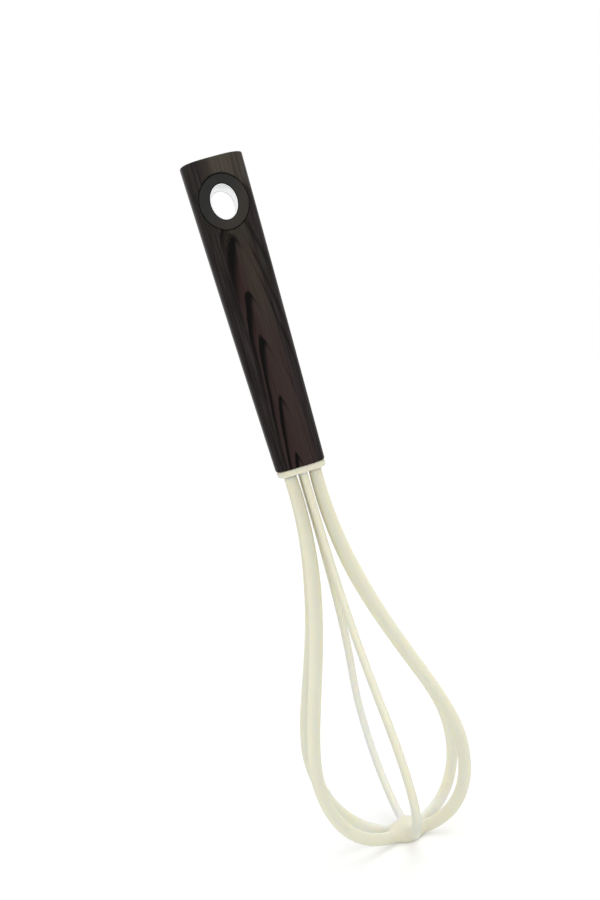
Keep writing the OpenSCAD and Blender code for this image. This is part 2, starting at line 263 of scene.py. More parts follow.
# Bands of a noise or a share. The first two numbers say where a band starts and ends, and the
# next two what it gives there. Where a band has only two, it gives 0 and 1. METAL_ROUGHNESS
# gives shares of a metal's own roughness.
CREAM_CLOUD_SHARE = (0.35, 0.7, 0.0, 0.35)
CREAM_ROUGHNESS = (0.3, 0.7, 0.4, 0.5)
ARCH_WANDER_X = (0.0, 1.0, -1.6, 1.6)
ARCH_RAGGED_Z = (0.25, 0.75, -0.9, 0.9)
ARCH_FADE = (0.0, 0.7)
WOOD_FIBRE_SHARE = (0.38, 0.72)
WOOD_STREAK_SHARE = (0.5, 0.68)
WOOD_LINES_SHARE = (0.0, 1.0, 0.6, 0.25)
WOOD_PALE_SHARE = (0.42, 0.62)
WOOD_PALE_TURN = (0.4, 0.6)
WOOD_BROAD_X = (0.3, 0.7, -2.0, 2.0)
WOOD_ROUGHNESS = (0.3, 0.7, 0.34, 0.42)
EYELET_CLOUD_SHARE = (0.3, 0.7, -0.15, 0.15)
EYELET_ROUGHNESS = (0.3, 0.7, 0.42, 0.55)
METAL_MARK_SHARE = (0.35, 0.7)
METAL_ROUGHNESS = (0.3, 0.7, 0.8, 1.25)

# Bumps: distance and strength
CREAM_BUMP = (0.012, 0.5)
WOOD_BUMP = (0.01, 0.3)
EYELET_BUMP = (0.008, 0.4)

# Bands along x, y or z, written in the same way. ARCH_REACH_LEFT follows the grain's level, and
# the eyelets' painted light runs along x less z.
CREAM_RISE = (COLLAR_Z - 60, COLLAR_Z)
# Painted light: the silicone paler towards the back, and a painted highlight low at the back of the
# hub
CREAM_BACKLIT_Y = (3.0, 34.0)
HUB_HIGHLIGHT_Y = (-0.5, 4.0)
HUB_HIGHLIGHT_Z = (14.0, 6.0)
SCATTER_REACH = (8.0, 18.0, 0.3 * MM, 2.0 * MM)
ARCH_BACK_Y = (-4.0, 4.0, 0.0, 9.0)
ARCH_REACH_LEFT = (250.0, 262.0, 17.0, 3.5)
ARCH_REACH_TURN = (-2.2, 0.2)
ARCH_DARK_LEFT = (2.2, -0.6, 0.12, 1.0)
ARCH_DARK_RIGHT = (3.6, 5.5, 0.0, 0.6)
ARCH_DARK_MARGIN = (-7.0, -4.6, 0.25, 1.0)
MIDDLE_LEFT = (-6.5, -4.0)
MIDDLE_RIGHT = (7.5, 4.5)
MARGIN_TURN = (-3.0, 3.0)
INNER_TURN = (-3.5, 3.0)
INNER_LOW_Z = (232.0, 205.0, 0.0, 0.6)
INNER_HIGH_Z = (246.0, 256.0, 0.0, 0.7)
# Painted highlight near the top of the handle, towards the right
TOP_HIGHLIGHT_Z = (262.0, 282.0)
TOP_HIGHLIGHT_X = (-4.0, 1.0)
EYELET_LIT_SLOPE = (-HOLE_Z - 9.0, -HOLE_Z + 13.0)

# Grain on the handle: heights of the arches' tops up the middle of the front, from the lowest
# up. Beside its top an arch falls by the bend less its height times the spread for each square
# millimetre, so the lower arches are the more pointed ones.
ARCH_TOPS = [
    120.0, 146.0, 168.0, 191.5, 216.0, 234.0, 255.5, 263.0, 270.5, 278.0, 296.0, 304.0, 315.0,
]
ARCH_MIDDLE = -0.7
ARCH_BEND = 6.0
ARCH_SPREAD = 0.0215
ARCH_EDGE = 0.8
ARCH_LINE = 0.05
ARCH_STEP_MOST = 30.0
ARCH_REACH_RIGHT = 4.0
GRAIN_LOW, GRAIN_HIGH = 120.0, 345.0


# Curves

def cubic(points, t):
    """Point on a cubic curve for each value in t."""
    a, b, c, d = [np.array(p) for p in points]
    t = t[:, None]
    return a * (1 - t) ** 3 + 3 * b * t * (1 - t) ** 2 + 3 * c * t * t * (1 - t) + d * t ** 3


def half_loop(loop, end_z):
    """Places along half a loop from the collar to the axis: distance out and height, with the
    share of the way that the part's own stations have there."""
    belly_z = loop["tip_z"] + loop["belly"]
    drop = COLLAR_Z - belly_z
    hold = loop["neck_hold"] * drop
    lean = math.radians(loop["lean"])
    neck = [
        (loop["root"], COLLAR_Z),
        (loop["root"] - hold * math.sin(lean), COLLAR_Z - hold * math.cos(lean)),
        (loop["radius"], belly_z + loop["waist_hold"] * drop),
        (loop["radius"], belly_z),
    ]
    belly = [
        (loop["radius"], belly_z),
        (loop["radius"], belly_z - loop["belly_hold"] * loop["belly"]),
        (loop["tip_hold"] * loop["radius"], end_z),
        (0.0, end_z),
    ]
    t_neck = np.linspace(0, 1, NECK_STEPS * PLACES_PER_STEP + 1)
    t_belly = np.linspace(0, 1, BELLY_STEPS * PLACES_PER_STEP + 1)[1:]
    places = np.vstack([cubic(neck, t_neck), cubic(belly, t_belly)])
    stations = np.concatenate([t_neck * NECK_STEPS, NECK_STEPS + t_belly * BELLY_STEPS])
    return places, stations / (NECK_STEPS + BELLY_STEPS)


def wire_loop(loop):
    """The loop that a rib's wire follows. The front rib's wire stays on its solid's loop."""
    return CENTRE if loop is FRONT else loop


def directions(places):
    """Unit direction along a run of places."""
    way = np.gradient(places, axis=0)
    return way / np.linalg.norm(way, axis=1)[:, None]


def even_stops(places, count, endpoint=True):
    """Length of the way up to each place, and lengths that part the whole way evenly."""
    steps = np.linalg.norm(np.diff(places, axis=0), axis=1)
    run = np.concatenate([[0], np.cumsum(steps)])
    return run, np.linspace(0, run[-1], count, endpoint=endpoint)


def resample(places, run, stops):
    """Places at the stops, from places whose lengths along the way are in run."""
    return np.column_stack([np.interp(stops, run, column) for column in places.T])


def rib_half_depth(share):
    """Half the depth of a rib at a share of the way from the collar to the tip."""
    return np.interp(share, RIB_DEPTH_SHARES, RIB_DEPTHS) / 2 - RIB_SKIN


def rib_half_width(share):
    """Half the width of a rib at a share of the way from the collar to the tip."""
    return np.interp(share, RIB_WIDTH_SHARES, RIB_WIDTHS) / 2


def oval_points(width, depth, count):
    """Points evenly spaced round the handle's full oval, starting at +X and turning to +Y."""
    a = np.linspace(0, 2 * math.pi, OVAL_FINENESS, endpoint=False)
    c, s = np.cos(a), np.sin(a)
    x = np.sign(c) * np.abs(c) ** (2 / HANDLE_POWER) * width / 2
    y = np.sign(s) * np.abs(s) ** (2 / HANDLE_POWER) * depth / 2
    fine = np.column_stack([np.append(x, x[0]), np.append(y, y[0])])
    return resample(fine, *even_stops(fine, count, endpoint=False))


# Meshes

def add_object(name, data):
    """Object with this data, linked into the scene."""
    obj = bpy.data.objects.new(name, data)
    bpy.context.scene.collection.objects.link(obj)
    return obj


def add_mesh(name, points, faces, material, sharp_angle=None):
    """Object from points in millimetres, smooth shaded, sharp only above the given angle."""
    mesh = bpy.data.meshes.new(name)
    mesh.from_pydata((np.asarray(points) * MM).tolist(), [], [list(map(int, f)) for f in faces])
    mesh.validate()
    mesh.polygons.foreach_set("use_smooth", [True] * len(mesh.polygons))
    if sharp_angle is not None:
        mesh.set_sharp_from_angle(angle=math.radians(sharp_angle))
    mesh.materials.append(material)
    return add_object(name, mesh)


def dress(obj, slot, *nodes):
    """The piece rides on the body and stands for these nodes, which are hidden. The slot is not
    used.
    """
    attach(obj, "root")
    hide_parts(*nodes)


def strip(first, second):
    """Quads between two closed rings of the same number of points."""
    count = len(first)
    return [(first[i], first[(i + 1) % count], second[(i + 1) % count], second[i])
            for i in range(count)]


def ring_faces(rings, sides):
    """Quads between neighbouring rings of points, and from the last ring to the first."""
    faces = []
    for k in range(rings):
        start, end = k * sides, (k + 1) % rings * sides
        faces.extend(strip(range(start, start + sides), range(end, end + sides)))
    return faces


def grid(low, high, step):
    """Values of x, y and z on a grid that covers the box from low to high."""
    axes = [np.arange(start, end + step, step) for start, end in zip(low, high)]
    return np.meshgrid(*axes, indexing="ij")


def soft_union(a, b, blend):
    """Union of two fields with a fillet whose size follows blend."""
    near = np.maximum(blend - np.abs(a - b), 0) / blend
    return np.minimum(a, b) - near * near * blend / 4


def surface_net(field, low, step):
    """Quad mesh on the zero level of a field sampled on a grid, negative inside."""
    inside = field < 0
    shape = np.array(field.shape) - 1
    total = np.zeros((*shape, 3))
    crossings = np.zeros(shape)
    corners = [np.array((i, j, k)) for i in (0, 1) for j in (0, 1) for k in (0, 1)]

    def at(values, corner):
        """Values at one corner of every cell."""
        i, j, k = corner
        return values[i:i + shape[0], j:j + shape[1], k:k + shape[2]]

    # Each cell's point is the middle of the places where its twelve edges cross the surface
    for a in corners:
        for b in corners:
            if (b - a).sum() != 1 or (b - a).min() < 0:
                continue
            crossed = at(inside, a) != at(inside, b)
            fa, fb = at(field, a), at(field, b)
            t = np.where(crossed, fa / np.where(crossed, fa - fb, 1), 0)
            total += crossed[..., None] * (a + t[..., None] * (b - a))
            crossings += crossed
    active = crossings > 0
    number = np.full(shape, -1)
    number[active] = np.arange(active.sum())
    cells = np.argwhere(active)
    points = np.array(low) + step * (cells + total[active] / crossings[active][:, None])

    # Each grid edge that crosses the surface gives a quad of the four cells round it
    faces = []
    for axis in range(3):
        ahead = [slice(None)] * 3
        behind = [slice(None)] * 3
        ahead[axis], behind[axis] = slice(1, None), slice(0, -1)
        crossed = inside[tuple(ahead)] != inside[tuple(behind)]
        u, v = [n for n in range(3) if n != axis]
        for cell in np.argwhere(crossed):
            if cell[u] == 0 or cell[v] == 0 or cell[u] >= shape[u] or cell[v] >= shape[v]:
                continue
            around = []
            for du, dv in ((1, 1), (0, 1), (0, 0), (1, 0)):
                place = cell.copy()
                place[u] -= du
                place[v] -= dv
                around.append(number[tuple(place)])
            if inside[tuple(cell)] != (axis == 1):
                around.reverse()
            faces.append(around)
    return points, faces


def relax(points, faces):
    """Moves each point towards the middle of its neighbours."""
    faces = np.array(faces)
    a = faces.ravel()
    b = np.roll(faces, -1, axis=1).ravel()
    for _ in range(RELAX_ROUNDS):
        total = np.zeros_like(points)
        count = np.zeros(len(points))
        for p, q in ((a, b), (b, a)):
            np.add.at(total, p, points[q])
            np.add.at(count, p, 1)
        points = points + RELAX_SHARE * (total / count[:, None] - points)
    return points


def add_field(name, field, low, step, material):
    """Object on the zero level of a field."""
    points, faces = surface_net(field, low, step)
    return add_mesh(name, relax(points, faces), faces, material)


# Silicone pieces

def tube_rings(middle, along, half_width, half_depth, turn):
    """Oval rings of points round a middle line that lies in the plane turned from the front."""
    a = np.linspace(0, 2 * math.pi, RIB_SIDES, endpoint=False)
    t = math.radians(turn)
    rings = []
    for (out, z), (out_way, up_way), wide, deep in zip(middle, along, half_width, half_depth):
        side = wide * np.cos(a)
        d = deep * np.sin(a)
        o = out - d * up_way
        rings.append(np.column_stack([
            o * math.sin(t) + side * math.cos(t),
            side * math.sin(t) - o * math.cos(t),
            z + d * out_way,
        ]))
    return rings


def rib(name, material):
    """Smooth oval rib with the bore for its wire, from inside the collar to inside the hub."""
    loop, turn, wire_z = RIBS[name]
    places, shares = half_loop(loop, loop["tip_z"])
    wire, _ = half_loop(wire_loop(loop), wire_z)
    hub_share = 1 - HUB_STEPS / (NECK_STEPS + BELLY_STEPS)
    keep = shares <= hub_share + HUB_OVERLAP_SHARE
    places, wire, shares = places[keep], wire[keep], shares[keep]
    run, stops = even_stops(places, RIB_ROWS)
    places, wire = resample(places, run, stops), resample(wire, run, stops)
    shares = np.interp(stops, run, shares)
    # The first places go straight up into the collar's flange
    first = [[loop["root"], COLLAR_Z + ROOT_RISE]]
    down = [[0.0, -1.0]]
    way, wire_way = [np.vstack([down, directions(line)]) for line in (places, wire)]
    places, wire = [np.vstack([first, line]) for line in (places, wire)]
    shares = np.concatenate([[0], shares])
    outer = tube_rings(places, way, rib_half_width(shares), rib_half_depth(shares), turn)
    bore = np.full(len(places), WIRE_BORE / 2)
    inner = tube_rings(wire, wire_way, bore, bore, turn)
    points = np.vstack(outer + inner[::-1])
    faces = ring_faces(2 * len(places), RIB_SIDES)
    return add_mesh(name + "_sleeve", points, faces, material, sharp_angle=50)


def turned(x, y, turn):
    """Distance out and distance to the side in the plane that is turned from the front."""
    t = math.radians(turn)
    return x * math.sin(t) - y * math.cos(t), x * math.cos(t) + y * math.sin(t)


def arm_field(at, loop, turn, end_z, reach, half_size, flare=0.0):
    """Field of half a loop's last stretch, negative inside its oval section, which widens by
    flare towards the axis."""
    x, y, z = at
    half_width, half_depth = half_size
    out, side = turned(x, y, turn)
    places, shares = half_loop(loop, end_z)
    on_belly = shares > 0.5
    places = places[on_belly & (places[:, 0] < reach)]
    places = resample(places, *even_stops(places, ARM_ROWS))
    nearest = np.inf
    for (po, pz), (wo, wz) in zip(places, directions(places)):
        along = (out - po) * wo + (z - pz) * wz
        deep = -(out - po) * wz + (z - pz) * wo
        wide = half_width + flare * (1 - po / reach) ** 2
        size = (side / wide) ** 2 + (deep / half_depth) ** 2 + (along / half_width) ** 2
        nearest = np.minimum(nearest, size)
    return (np.sqrt(nearest) - 1) * half_width


def tip_hub(material):
    """The junction where the six ribs meet, with fillets between its arms."""
    low = (-HUB_HALF, -HUB_HALF, -HUB_BELOW)
    high = (HUB_HALF, HUB_HALF, HUB_ABOVE)
    at = grid(low, high, HUB_STEP)
    x, y, z = at
    arm_size = (RIB_WIDTHS[-1] / 2 - FIELD_SKIN, RIB_DEPTHS[-1] / 2 - RIB_SKIN - FIELD_SKIN)
    arms = [arm_field(at, loop, turn, loop["tip_z"], ARM_REACH, arm_size, ARM_FLARE)
            for loop, turn, _ in RIBS.values()]
    field = arms[0]
    for arm in arms[1:]:
        field = soft_union(field, arm, ARM_BLEND)
    boss = np.sqrt((x * x + y * y) / BOSS_RADIUS ** 2
                   + ((z - BOSS_HALF - BOSS_LIFT) / BOSS_HALF) ** 2)
    field = soft_union(field, (boss - 1) * BOSS_HALF, BOSS_BLEND)
    bore_size = (WIRE_BORE / 2, WIRE_BORE / 2)
    for loop, turn, wire_z in RIBS.values():
        bore = arm_field(at, wire_loop(loop), turn, wire_z, ARM_REACH + BORE_BEYOND, bore_size)
        field = np.maximum(field, -bore)
    # Flat where it stands on the floor
    field = np.maximum(field, -z)
    return add_field("tip_hub_junction", field, low, HUB_STEP, material)


def slab(at, size, bottom, top, edge):
    """Field of a slab with the handle's oval outline and a rounded edge."""
    x, y, z = at
    wide, deep = size
    around = ((np.abs(2 * x / wide) ** HANDLE_POWER + np.abs(2 * y / deep) ** HANDLE_POWER)
              ** (1 / HANDLE_POWER) - 1) * deep / 2
    tall = np.abs(z - (bottom + top) / 2) - (top - bottom) / 2
    u, v = around + edge, tall + edge
    corner = np.sqrt(np.maximum(u, 0) ** 2 + np.maximum(v, 0) ** 2)
    return corner + np.minimum(np.maximum(u, v), 0) - edge


def collar(material):
    """Flange and plug under the handle, with a small fillet round each rib's root."""
    width, depth = [size - 2 * COLLAR_INSET for size in FOOT_SIZE]
    low = (-width / 2 - COLLAR_MARGIN, -depth / 2 - COLLAR_MARGIN, COLLAR_Z - COLLAR_BELOW)
    high = (width / 2 + COLLAR_MARGIN, depth / 2 + COLLAR_MARGIN, PLUG_Z + COLLAR_MARGIN)
    at = grid(low, high, COLLAR_STEP)
    x, y, z = at
    half_width = RIB_WIDTHS[0] / 2 - FIELD_SKIN
    half_depth = RIB_DEPTHS[0] / 2 - RIB_SKIN - FIELD_SKIN
    field = slab(at, (width, depth), COLLAR_Z, SHELL_Z, FLANGE_EDGE)
    bores = []
    for loop, turn, _ in RIBS.values():
        out, side = turned(x, y, turn)
        lean = math.tan(math.radians(loop["lean"]))
        out = out - (loop["root"] + (z - COLLAR_Z).clip(max=0) * lean)
        arm = (np.sqrt((side / half_width) ** 2 + (out / half_depth) ** 2) - 1) * half_width
        arm = np.maximum(arm, np.maximum(COLLAR_Z - ROOT_ARM - z, z - SHELL_Z + ROOT_ARM_COVER))
        field = soft_union(field, arm, ROOT_BLEND)
        bores.append(np.hypot(out, side) - WIRE_BORE / 2)
    plug = slab(at, PLUG_SIZE, SHELL_Z - PLUG_OVERLAP, PLUG_Z, PLUG_EDGE)
    field = np.maximum(np.minimum(field, plug), -np.min(bores, axis=0))
    return add_field("collar_flange", field, low, COLLAR_STEP, material)


# Handle shell

def through(foot, mid, top, share):
    """Value at a share of the way on a smooth curve through three values."""
    return (foot * (1 - share) * (1 - 2 * share) + mid * 4 * share * (1 - share)
            + top * share * (2 * share - 1))


def handle_half(z):
    """Half width and half depth of the handle's outside at a height."""
    share = np.clip((z - SHELL_Z - FOOT_EDGE) / (BODY_TOP - SHELL_Z - FOOT_EDGE), 0, 1)
    half = [through(*sizes, share) / 2 for sizes in zip(FOOT_SIZE, MID_SIZE, TOP_SIZE)]
    crown = np.clip((z - BODY_TOP) / CROWN, 0, 1)
    foot = np.clip(1 - (z - SHELL_Z) / FOOT_EDGE, 0, 1)
    drawn = np.sqrt(1 - crown ** 2) * (1 - FOOT_EDGE / half[0] * (1 - np.sqrt(1 - foot ** 2)))
    return half[0] * drawn, half[1] * drawn


def handle_depth(x, z):
    """Distance of the handle's front or back surface from its middle plane."""
    width, depth = handle_half(z)
    return depth * (1 - np.clip(np.abs(x) / width, 0, 1) ** HANDLE_POWER) ** (1 / HANDLE_POWER)


def hole_ring(size, angles, grow=0.0):
    """Places on an oval round the hanging hole, as x and z."""
    return np.column_stack([
        (size[0] / 2 + grow) * np.cos(angles), HOLE_Z + (size[1] / 2 + grow) * np.sin(angles)
    ])


def shell_heights():
    """Heights of the handle's rows: the rounded foot, the body and the crown."""
    foot = SHELL_Z + FOOT_EDGE * (1 - np.cos(np.radians(FOOT_ANGLES)))
    body = np.linspace(SHELL_Z + FOOT_EDGE, BODY_TOP, SHELL_ROWS)
    crown = BODY_TOP + CROWN * np.sin(np.radians(CROWN_ANGLES))
    return np.concatenate([foot, body, crown])


def patch_block(heights, oval, face_side):
    """First and last row and column of the handle's grid that one face's patch replaces."""
    rows = np.flatnonzero(np.abs(heights - HOLE_Z) < BLOCK_HALF_HEIGHT)
    wide = np.abs(oval[:, 0] * handle_half(HOLE_Z)[0]) < BLOCK_HALF_WIDTH
    columns = np.flatnonzero(wide & (oval[:, 1] * face_side > 0))
    return rows[0], rows[-1], columns[0], columns[-1]


def shell_faces(row_count, blocks):
    """Quads of the handle's grid outside the blocks, and a cap at each end."""
    faces = []
    for k in range(row_count - 1):
        row = range(k * SHELL_SIDES, (k + 1) * SHELL_SIDES)
        next_row = range((k + 1) * SHELL_SIDES, (k + 2) * SHELL_SIDES)
        for i, quad in enumerate(strip(row, next_row)):
            if not any(k0 <= k < k1 and i0 <= i < i1 for k0, k1, i0, i1 in blocks):
                faces.append(quad)
    faces.append(list(range(SHELL_SIDES))[::-1])
    faces.append([(row_count - 1) * SHELL_SIDES + i for i in range(SHELL_SIDES)])
    return faces


def block_edge(block):
    """Numbers of the grid's points round a block, in order."""
    row_low, row_high, low, high = block
    bottom = [row_low * SHELL_SIDES + i for i in range(low, high)]
    right = [k * SHELL_SIDES + high for k in range(row_low, row_high)]
    top = [row_high * SHELL_SIDES + i for i in range(high, low, -1)]
    left = [k * SHELL_SIDES + low for k in range(row_high, row_low, -1)]
    return bottom + right + top + left


def patch_rings(border):
    """Rings of a patch from the grid's border in: skin, rounded lip, wall and floor of the
    recess. Each has its places, as x and z, and their distance from the middle plane."""
    angles = np.arctan2((border[:, 2] - HOLE_Z) / RECESS[1], border[:, 0] / RECESS[0])
    outer = hole_ring(RECESS, angles, RECESS_LIP)
    rings = []
    for share in np.linspace(0, 1, PATCH_ROWS + 1)[1:]:
        flat = border[:, [0, 2]] * (1 - share) + outer * share
        rings.append((flat, handle_depth(*flat.T)))
    for a in np.radians(LIP_ANGLES):
        flat = hole_ring(RECESS, angles, RECESS_LIP * (1 - math.sin(a)))
        rings.append((flat, handle_depth(*flat.T) - RECESS_LIP * (1 - math.cos(a))))
    wall = hole_ring(RECESS, angles)
    wall_top = handle_depth(*wall.T) - RECESS_LIP
    for share in (0.5, 1):
        rings.append((wall, wall_top * (1 - share) + RECESS_FLOOR * share))
    rings.append((hole_ring(SHELL_BORE, angles), np.full(len(angles), RECESS_FLOOR)))
    return rings


def bridge(points, front, back):
    """Joins the front bore's ring to the back one, whose points run the other way round."""
    back = back[::-1]
    places = np.array([points[i] for i in back])
    start = np.array(points[front[0]])
    shift = int(np.argmin(np.hypot(places[:, 0] - start[0], places[:, 2] - start[2])))
    return strip(front, back[shift:] + back[:shift])


def handle_shell(material):
    """Loft of the handle's outside. Where the rings sit, patches with a recess take the grid's
    place, and their bores join through the hanging hole."""
    heights = shell_heights()
    # Points spread evenly on the top's oval, scaled to a half width and half depth of 1
    oval = oval_points(2, 2 * TOP_SIZE[1] / TOP_SIZE[0], SHELL_SIDES)
    oval[:, 1] *= TOP_SIZE[0] / TOP_SIZE[1]
    points = []
    for z in heights:
        half_width, half_depth = handle_half(z)
        level = np.full(SHELL_SIDES, z)
        points.extend(np.column_stack([oval[:, 0] * half_width, oval[:, 1] * half_depth, level]))
    face_sides = (-1, 1)
    blocks = [patch_block(heights, oval, face_side) for face_side in face_sides]
    faces = shell_faces(len(heights), blocks)
    bores = []
    for block, face_side in zip(blocks, face_sides):
        ring = block_edge(block)
        border = np.array([points[i] for i in ring])
        for flat, depth in patch_rings(border):
            inner = list(range(len(points), len(points) + len(flat)))
            points.extend(np.column_stack([flat[:, 0], depth * face_side, flat[:, 1]]))
            faces.extend(strip(ring, inner))
            ring = inner
        bores.append(ring)
    faces.extend(bridge(points, *bores))
    return add_mesh("handle_shell_skin", points, faces, material, sharp_angle=40)


# Hanging hole

def oval_lathe(name, profile, material, sharp_angle):
    """Closed profile swept round the hole. Each place is its oval's width, height and y."""
    angles = np.linspace(0, 2 * math.pi, LATHE_SIDES, endpoint=False)
    rings = [np.insert(hole_ring((w, h), angles), 1, y, axis=1) for w, h, y in profile]
    faces = ring_faces(len(rings), LATHE_SIDES)
    return add_mesh(name, np.vstack(rings), faces, material, sharp_angle)


def between(inner, outer, share):
    """Width and height at a share of the way from one oval to another."""
    return [i + (o - i) * share for i, o in zip(inner, outer)]


def eyelet(name, way, material):
    """Ring with a sleeve. Way is -1 for the front ring and 1 for the back one."""
    sleeve = tuple(size + 2 * SLEEVE_WALL for size in HOLE)
    span = (RING[0] - HOLE[0]) / 2
    rim = [(RING_RIM * (1 - math.cos(a)) / span, RING_FACE - RING_RIM * (1 - math.sin(a)))
           for a in np.radians(RIM_ANGLES)]
    profile = [(*HOLE, SLEEVE_END)]
    profile += [(*between(HOLE, RING, share), y) for share, y in rim]
    profile += [(*between(HOLE, RING, 1 - share), y) for share, y in rim[::-1]]
    profile.append((*RING, RING_FACE - RING_FLANGE))
    profile.append((*sleeve, RING_FACE - RING_FLANGE))
    profile.append((*sleeve, SLEEVE_END))
    profile = [(w, h, way * y) for w, h, y in profile]
    if way > 0:
        profile.reverse()
    return oval_lathe(name, profile, material, sharp_angle=50)


def liner(material):
    """Polished tube through the handle, with rounded ends."""
    outer = tuple(size - 2 * FIT_GAP for size in HOLE)
    inner = tuple(size - 2 * LINER_WALL for size in outer)
    end = RING_FACE - LINER_SET_BACK
    profile = []
    for way in (-1, 1):
        for a in np.radians(LINER_END_ANGLES):
            share = (1 + way * math.cos(a)) / 2
            y = end - LINER_WALL / 2 * (1 - math.sin(a))
            profile.append((*between(inner, outer, share), way * y))
    return oval_lathe("eyelet_liner_tube", profile, material, sharp_angle=60)


# Materials

class Nodes:
    """Short calls for the nodes that are used here, in the tree of a material or the world."""

    def __init__(self, owner, shader="Principled BSDF"):
        owner.use_nodes = True
        self.owner = owner
        self.tree = owner.node_tree
        self.shader = self.tree.nodes[shader]

    def add(self, kind, **settings):
        """New node of a kind, with its settings."""
        node = self.tree.nodes.new(kind)
        for key, value in settings.items():
            setattr(node, key, value)
        return node

    def give(self, socket, value):
        """Links another node's output to the socket, or sets its number, vector or colour."""
        if isinstance(value, bpy.types.NodeSocket):
            self.tree.links.new(value, socket)
        elif socket.type == "RGBA":
            socket.default_value = (*value, 1.0)
        else:
            socket.default_value = value

    def set(self, **values):
        """Gives the shader's own inputs their values."""
        for name, value in values.items():
            self.give(self.shader.inputs[name.replace("_", " ")], value)

    def place(self):
        """Place on the object, in millimetres."""
        coordinates = self.add("ShaderNodeTexCoord")
        node = self.add("ShaderNodeVectorMath", operation="SCALE")
        self.give(node.inputs["Scale"], 1 / MM)
        self.give(node.inputs[0], coordinates.outputs["Object"])
        return node.outputs[0]

    def axes(self, place):
        """The x, y and z of a place."""
        node = self.add("ShaderNodeSeparateXYZ")
        self.give(node.inputs[0], place)
        return [node.outputs[name] for name in "XYZ"]

    def noise(self, place, waves, detail, roughness=0.5):
        """Noise from 0 to 1 with so many waves per millimetre along each axis."""
        stretched = self.add("ShaderNodeVectorMath", operation="MULTIPLY")
        self.give(stretched.inputs[0], place)
        self.give(stretched.inputs[1], waves)
        node = self.add("ShaderNodeTexNoise")
        self.give(node.inputs["Vector"], stretched.outputs[0])
        self.give(node.inputs["Scale"], 1.0)
        self.give(node.inputs["Detail"], detail)
        self.give(node.inputs["Roughness"], roughness)
        return node.outputs["Fac"]

    def math(self, operation, *values, clamp=False):
        """Result of one operation on the values."""
        node = self.add("ShaderNodeMath", operation=operation, use_clamp=clamp)
        for socket, value in zip(node.inputs, values):
            self.give(socket, value)
        return node.outputs[0]

    def remap(self, value, low, high, new_low=0.0, new_high=1.0, smooth=False):
        """Value that goes from new_low to new_high as the given one goes from low to high."""
        node = self.add("ShaderNodeMapRange")
        if smooth:
            node.interpolation_type = "SMOOTHSTEP"
        for socket, number in zip(node.inputs[:5], (value, low, high, new_low, new_high)):
            self.give(socket, number)
        return node.outputs[0]

    def ramp(self, value, stops):
        """Level that runs straight from stop to stop. Each stop is a position and a level."""
        node = self.add("ShaderNodeValToRGB")
        elements = node.color_ramp.elements
        while len(elements) < len(stops):
            elements.new(0.5)
        for element, (position, level) in zip(elements, stops):
            element.position = position
            element.color = (level, level, level, 1.0)
        self.give(node.inputs[0], value)
        return node.outputs[0]

    def mix(self, factor, a, b):
        """Colour between two colours."""
        node = self.add("ShaderNodeMix", data_type="RGBA")
        for socket, value in zip((node.inputs[0], node.inputs[6], node.inputs[7]), (factor, a, b)):
            self.give(socket, value)
        return node.outputs[2]

    def bump(self, height, distance, strength):
        """Bump on the shader, with its distance in millimetres."""
        node = self.add("ShaderNodeBump")
        self.give(node.inputs["Strength"], strength)
        self.give(node.inputs["Distance"], distance * MM)
        self.give(node.inputs["Height"], height)
        self.set(Normal=node.outputs[0])


def silicone_material():
    """Satin cream silicone, a little deeper in colour towards the handle, paler behind by painted
    light.
    """
    n = Nodes(bpy.data.materials.new("cream_silicone"))
    place = n.place()
    _, y, z = n.axes(place)
    body = n.mix(n.remap(z, *CREAM_RISE), CREAM["low"], CREAM["high"])
    # Painted light: paler towards the back, and a painted highlight low at the hub's back
    hub_highlight = n.math("MULTIPLY", n.remap(y, *HUB_HIGHLIGHT_Y, smooth=True),
                      n.remap(z, *HUB_HIGHLIGHT_Z, smooth=True))
    behind = n.math("MAXIMUM", n.remap(y, *CREAM_BACKLIT_Y), hub_highlight)
    body = n.mix(behind, body, CREAM["behind"])
    cloud = n.remap(n.noise(place, *CREAM_CLOUD), *CREAM_CLOUD_SHARE)
    skin = n.noise(place, *CREAM_SKIN)
    n.bump(skin, *CREAM_BUMP)
    n.set(Base_Color=n.mix(cloud, body, CREAM["cloud"]), Roughness=n.remap(skin, *CREAM_ROUGHNESS))
    # Light travels less far near the hub, where it would stop at the joints between the pieces
    n.set(Subsurface_Weight=1.0, Subsurface_Scale=n.remap(z, *SCATTER_REACH),
          Subsurface_Radius=(1.0, 0.85, 0.55), IOR=1.42)
    return n.owner


def grain_level(n, place, x, y, z):
    """Height at which each place's grain line crosses the middle of the handle. The lines are
    arches that widen towards the top, with ragged edges, and the back has its own set."""
    wander = n.remap(n.noise(place, *ARCH_WANDER), *ARCH_WANDER_X)
    out = n.math("ADD", n.math("SUBTRACT", x, ARCH_MIDDLE), wander)
    square = n.math("MULTIPLY", out, out)
    bent = n.math("MULTIPLY_ADD", square, ARCH_BEND, z)
    level = n.math("DIVIDE", bent, n.math("MULTIPLY_ADD", square, ARCH_SPREAD, 1.0))
    ragged = n.remap(n.noise(place, *ARCH_RAGGED), *ARCH_RAGGED_Z)
    level = n.math("ADD", level, ragged)
    return n.math("ADD", level, n.remap(y, *ARCH_BACK_Y, smooth=True))


def below_arch(n, level):
    """How far each place lies below the next arch's edge, measured up the middle."""
    stops = []
    for low, high in zip(ARCH_TOPS[:-1], ARCH_TOPS[1:]):
        for height, depth in ((low + ARCH_LINE, high - low), (high, 0.0)):
            stops.append(((height - GRAIN_LOW) / (GRAIN_HIGH - GRAIN_LOW), depth / ARCH_STEP_MOST))
    span = n.remap(level, GRAIN_LOW, GRAIN_HIGH)
    return n.math("MULTIPLY", n.ramp(span, stops), ARCH_STEP_MOST)


